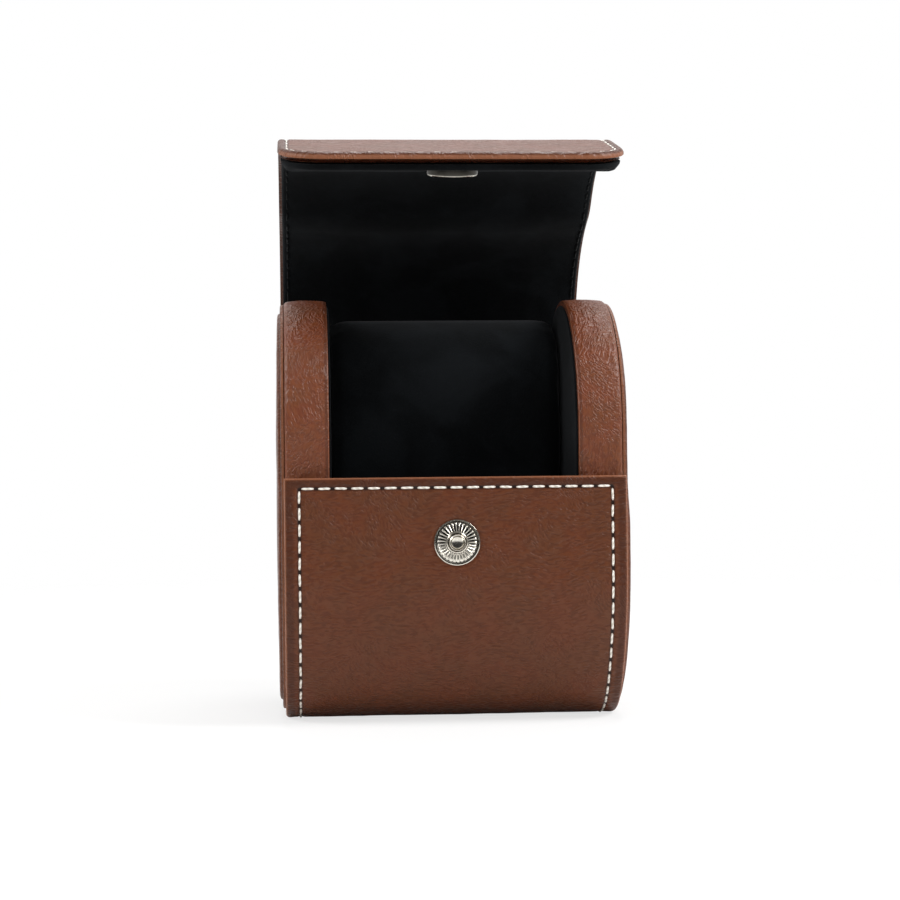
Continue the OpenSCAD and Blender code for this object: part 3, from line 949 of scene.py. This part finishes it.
def lathed(name, section, steps, rise=None):
    """A row of (radius, height) points, turned once round Z. rise adds height by radius, angle and height."""
    piece = row_of_edges(name, [(radius, 0, height) for radius, height in section])
    bpy.ops.mesh.spin(steps=steps, angle=2 * math.pi, center=(0, 0, 0), axis=(0, 0, 1))
    close()
    merged(piece)
    if rise:
        for vertex in piece.data.vertices:
            x, y, z = vertex.co / MM
            vertex.co.z += rise(math.hypot(x, y), math.atan2(y, x), z) * MM
    smooth(piece, 35)
    return piece


STUD = [
    (0, -1.95), (1.5, -1.95), (1.58, -1.87), (1.58, -0.02), (5.35, -0.02), (5.5, 0.1), (5.5, 0.5), (5.45, 0.63),
    (5.36, 0.69), (5.26, 0.69), (5.19, 0.62), (5.13, 0.45), (5.08, 0.3), (4.98, 0.24), (4.86, 0.26), (4.76, 0.33),
    (4.66, 0.38), (4.58, 0.4), (4.3, 0.46), (3.9, 0.55), (3.5, 0.64), (3.1, 0.73), (2.8, 0.8), (2.7, 0.82),
    (2.64, 0.86), (2.59, 0.96), (2.53, 1.06), (2.45, 1.12), (2.36, 1.13), (2.28, 1.08), (2.22, 0.95), (2.18, 0.75),
    (2.12, 0.7), (2.05, 0.75), (2.0, 0.9), (2.02, 1.4), (2.04, 1.75), (2.0, 2.05), (1.92, 2.22), (1.84, 2.28),
    (1.76, 2.24), (1.7, 2.1), (1.68, 1.8), (1.66, 1.1), (1.6, 0.75), (1.35, 0.5), (0.9, 0.38), (0.4, 0.33),
    (0, 0.32)]
RIBS = 31


def rib(radius, angle, height):
    """The plate's stamped ribs, like the knurls of a coin's edge, laid flat between its rim and its ring."""
    if not 2.62 < radius < 4.72 or height < 0:
        return 0.0
    return 0.2 * max(0.0, math.cos(RIBS * angle)) ** 0.7 * eased(radius, 2.6, 2.85) * eased(4.74 - radius, 0, 0.3)


def painted_hollow_shade(radius, angle):
    """Painted shade in the hollows: between the ribs and in the rings of the plate, from 0 to 1."""
    slot = eased(-math.cos(RIBS * angle), -0.35, 0.35) * eased(radius, 2.7, 3.0) * eased(4.3 - radius, 0, 0.25)
    rings = ((0.95, 5.0, 0.17), (0.7, 2.14, 0.09), (0.5, 2.68, 0.1))
    return max(0.85 * slot, *[share * hump(radius - at, width) for share, at, width in rings])


def with_painted_hollow_shade(piece, share):
    """Keeps on each vertex how much painted shade the metal gets, by radius and angle."""
    dark = [share(math.hypot(v.co.x, v.co.y) / MM, math.atan2(v.co.y, v.co.x)) for v in piece.data.vertices]
    piece.data.attributes.new("painted_hollow_shade", "FLOAT", "POINT").data.foreach_set("value", dark)
    return piece


# Painted shade between the ribs and in the rings of the plate.
stud = with_painted_hollow_shade(lathed("stud", STUD, 8 * RIBS, rib), painted_hollow_shade)
stud.data.transform(
    Matrix.Translation(Vector((0, FRONT + 0.4, SNAP_Z)) * MM) @ Matrix.Rotation(math.pi / 2, 4, "X"))
stand_in(stud, NICKEL, "nickel", "snap_stud")
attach(stud, "case")

# The socket, from its rivet's end to the mouth that takes the stud's post. Its face is at height 0.
SOCKET = [
    (0, -4.05), (1.5, -4.05), (1.58, -3.97), (1.58, -3.08), (6.2, -3.08), (6.38, -2.95), (6.42, -1.6), (6.4, -0.9),
    (6.35, -0.55), (6.28, -0.36), (6.18, -0.2), (6.0, -0.07), (5.78, 0), (5.5, 0), (5.3, -0.06), (5.12, -0.2),
    (4.9, -0.3), (4.5, -0.3), (4.1, -0.22), (3.7, -0.14), (3.35, -0.12), (3.1, -0.2), (2.9, -0.4), (2.78, -0.7),
    (2.74, -1.1), (2.72, -2.3), (2.6, -2.38), (0, -2.4)]
# The crease's axis while the lid is shut, 0.7 mm inside the leather's outer face.
CREASE_R, CREASE_TOP = FLAP_R - 0.7, 63.9
CREASE_Y = -CREASE_R * math.sin(math.radians(CREASE_TURN))
CREASE_Z = CREASE_TOP + CREASE_R * math.cos(math.radians(CREASE_TURN))


def opened(angle, y, z):
    """A turn about an axis along X through a place in mm."""
    centre = Vector((0, y, z)) * MM
    return (Matrix.Translation(centre) @ Matrix.Rotation(math.radians(-angle), 4, "X")
            @ Matrix.Translation(-centre))


# Painted shade on the socket's outer side wall and in a ring of its face.
socket = with_painted_hollow_shade(lathed("socket", SOCKET, 96),
                   lambda radius, angle: max(0.95 * eased(radius, 6.24, 6.34), 0.6 * hump(radius - 4.7, 0.3)))
socket.data.transform(
    opened(LID_OPEN, HINGE_Y, HINGE_Z) @ opened(FLAP_OPEN, CREASE_Y, CREASE_Z)
    @ Matrix.Translation(Vector((0, FRONT - 0.6, SNAP_Z)) * MM) @ Matrix.Rotation(-math.pi / 2, 4, "X"))
stand_in(socket, NICKEL, "nickel", "snap_socket")
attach(socket, "flap")


# ---- stitches

def one_stitch():
    """One stitch of thread along X on the surface Z = 0, its ends going down into their needle holes."""
    bpy.ops.mesh.primitive_circle_add(vertices=8, radius=0.10 * MM, fill_type="NGON", rotation=(0, math.pi / 2, 0))
    piece = named("stitch")
    bpy.ops.object.transform_apply(rotation=True)
    edit(piece)
    half = STITCH / 2
    stations = [(-half, 0.10), (-half + 0.12, 0.20), (-half + 0.4, 0.26), (-0.5, 0.28), (0.5, 0.28),
                (half - 0.4, 0.26), (half - 0.12, 0.20), (half, 0.10)]
    bpy.ops.transform.translate(value=(stations[0][0] * MM, 0, 0))
    for (x0, r0), (x1, r1) in zip(stations, stations[1:]):
        bpy.ops.mesh.extrude_region_move(TRANSFORM_OT_translate={"value": ((x1 - x0) * MM, 0, 0)})
        bpy.ops.transform.resize(value=(1, r1 / r0, r1 / r0), center_override=(x1 * MM, 0, 0))
    close()
    for vertex in piece.data.vertices:
        x = abs(vertex.co.x) / MM
        vertex.co.z = 0.86 * vertex.co.z + (0.12 - 0.42 * max(0.0, x / half - 0.35) ** 2) * MM
    merged(piece)
    smooth(piece, 60)
    flat = piece.data.uv_layers.new(name="cut")
    for loop in piece.data.loops:
        place = piece.data.vertices[loop.vertex_index].co
        flat.data[loop.index].uv = (place.x, place.y)
    return piece


def on_hide(x, s, depth):
    """Point, direction along the hide and outward direction, at a place on the flat hide."""
    path, t = (CASE, s) if s < CASE_LENGTH else (LID, s - CASE_LENGTH)
    y, z, heading = along(path, t)
    side = heading - math.pi / 2
    ahead = Vector((0, math.cos(heading), math.sin(heading)))
    out = Vector((0, math.cos(side), math.sin(side)))
    return Vector((x, y, z)) - out * depth, ahead, out


def sewn(name, row, depth, facing, keep=lambda x, s: True):
    """A row of stitches, each a copy of the one stitch, laid along a row on the hide at a depth."""
    count, pitch, first = pitches(row)
    made = bmesh.new()
    for i in range(count):
        x, s, heading = along(row, first + (i + 0.5) * pitch)
        if not keep(x, s):
            continue
        wander = 0.05 * noise.noise(Vector((i * 0.7, depth, row[1])))
        tilt = heading + 0.09 * noise.noise(Vector((i * 1.3, 4, depth)))
        point, ahead, out = on_hide(x, s, depth)
        out = out * facing
        run = Vector((math.cos(tilt), 0, 0)) + ahead * math.sin(tilt)
        across = out.cross(run)
        turn = Matrix((run, across, out)).transposed().to_4x4()
        turn.translation = (point + across * wander) * MM
        copy = STITCH_MODEL.data.copy()
        copy.transform(turn)
        made.from_mesh(copy)
        bpy.data.meshes.remove(copy)
    mesh = bpy.data.meshes.new(name)
    made.to_mesh(mesh)
    made.free()
    piece = bpy.data.objects.new(name, mesh)
    bpy.context.scene.collection.objects.link(piece)
    return piece


STITCH_MODEL = one_stitch()
body_stitches = sewn("case_stitches", CASE_ROW, 0.2, 1)
stand_in(body_stitches, WHITE_THREAD, "white_thread", "body_thread")
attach(body_stitches, "case")
lid_stitches = sewn("lid_stitches", LID_ROW, 0.40, 1)
stand_in(lid_stitches, WHITE_THREAD, "white_thread", "lid_thread", "flap_thread")
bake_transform(lid_stitches)
under_stitches = dress(sewn("lid_stitches_underside", LID_ROW, LID_WRAP - 0.4, -1,
                            keep=lambda x, s: HINGE_AT + 6 < s < WHOLE_LENGTH - 8 and abs(x) > 38), BLACK_THREAD)
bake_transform(under_stitches)
bpy.data.objects.remove(STITCH_MODEL)


for name, body_node in frame["nodes"].items():
    slot = next(part["material_slot"] for part in frame["record"]["subparts"] if part["node"] == name)
    dress(body_node, {"tan_leather": WRAP_LEATHER, "black_velvet": VELVET, "foam": FOAM, "fibreboard": BOARD,
                      "white_thread": WHITE_THREAD, "nickel": NICKEL}[slot])


# ---- floor, light and camera

def lamp(name, place, aim, size, power, glossy=True):
    made = bpy.data.objects.new(name, bpy.data.lights.new(name, "AREA"))
    made.data.shape, made.data.size, made.data.energy = "DISK", size, power
    made.location = place
    made.rotation_euler = (Vector(aim) - Vector(place)).to_track_quat("-Z", "Y").to_euler()
    made.visible_glossy = glossy
    bpy.context.scene.collection.objects.link(made)


def white_for(tree, base):
    """One where a ray shows the background itself, and a base value where it only lights the object."""
    seen = node(tree, "LightPath").node.outputs
    share = calc(tree, seen["Is Camera Ray"], seen["Is Glossy Ray"], "MAXIMUM")
    share = calc(tree, share, seen["Is Transmission Ray"], "MAXIMUM")
    return stepped(tree, share, 0.0, 1.0, base, 1.0)


def backdrop_and_light():
    bpy.ops.mesh.primitive_plane_add(size=12, location=(0, 0, 0))
    floor = named("floor")
    made, tree, shader = new_material("matt_paper", Roughness=0.9, Specular_IOR_Level=0.1)
    shader.inputs["Base Color"].default_value = colour("#F2F2F0")
    seen = node(tree, "LightPath", pick="Is Camera Ray")
    lit = node(tree, "BsdfDiffuse", {"Color": colour("#F4F4F3")})
    shown = node(tree, "MixShader", {0: times(tree, seen, 0.7), 1: lit, 2: node(tree, "Emission")})
    paper = node(tree, "MixShader", {0: white_for(tree, 0.0), 1: shader.outputs[0], 2: shown})
    place = node(tree, "TexCoord", pick="Object")
    far = stepped(tree, node(tree, "VectorMath", {0: place}, 1, operation="LENGTH"), 0.10, 0.60)
    blend = node(tree, "MixShader", {0: far, 1: paper, 2: node(tree, "BsdfTransparent")})
    tree.links.new(blend, tree.nodes["Material Output"].inputs[0])
    dress(floor, made)
    world = bpy.data.worlds.new("studio")
    bpy.context.scene.world = world
    world.use_nodes = True
    tree = world.node_tree
    # The white wall is behind the case and the room before it is dim, which is what polished metal shows.
    toward = node(tree, "SeparateXYZ", {0: node(tree, "TexCoord", pick="Generated")}, 1)
    mirrored = node(tree, "LightPath", pick="Is Glossy Ray")
    room = node(tree, "Mix", {0: mirrored, 2: 1.0, 3: stepped(tree, toward, -0.8, 0.2, 0.05, 1.0)},
                data_type="FLOAT")
    tree.links.new(times(tree, white_for(tree, 0.32), room), tree.nodes["Background"].inputs[1])
    tree.nodes["Background"].inputs[0].default_value = (1, 1, 1, 1)
    lamp("key", (0.75, -0.28, 0.75), (0, 0, 0.08), 0.5, 9)
    lamp("left", (-0.80, -0.20, 0.65), (0, 0, 0.08), 0.5, 5)
    lamp("front", (0.05, -0.85, 0.42), (0, 0, 0.05), 0.5, 1.6, glossy=False)
    lamp("top", (0.05, 0.35, 1.00), (0, 0, 0.08), 0.5, 5.5)


def camera():
    """A level camera a little left of the front, at the height of the pillow's middle."""
    made = bpy.data.objects.new("camera", bpy.data.cameras.new("camera"))
    bpy.context.scene.collection.objects.link(made)
    bpy.context.scene.camera = made
    made.data.sensor_width, made.data.lens = 36, 85.8
    made.location = (-0.0389, -0.5473, 0.066)
    aim = Vector((-0.0015, -0.0388, 0.066)) - made.location
    made.rotation_mode = "QUATERNION"
    made.rotation_quaternion = aim.to_track_quat("-Z", "Y")
    made.rotation_mode = "XYZ"
    made.rotation_euler.rotate_axis("Z", math.radians(-0.55))
    made.data.clip_start, made.data.clip_end = 0.01, 20


backdrop_and_light()
camera()
bpy.context.scene.view_settings.view_transform = "Standard"
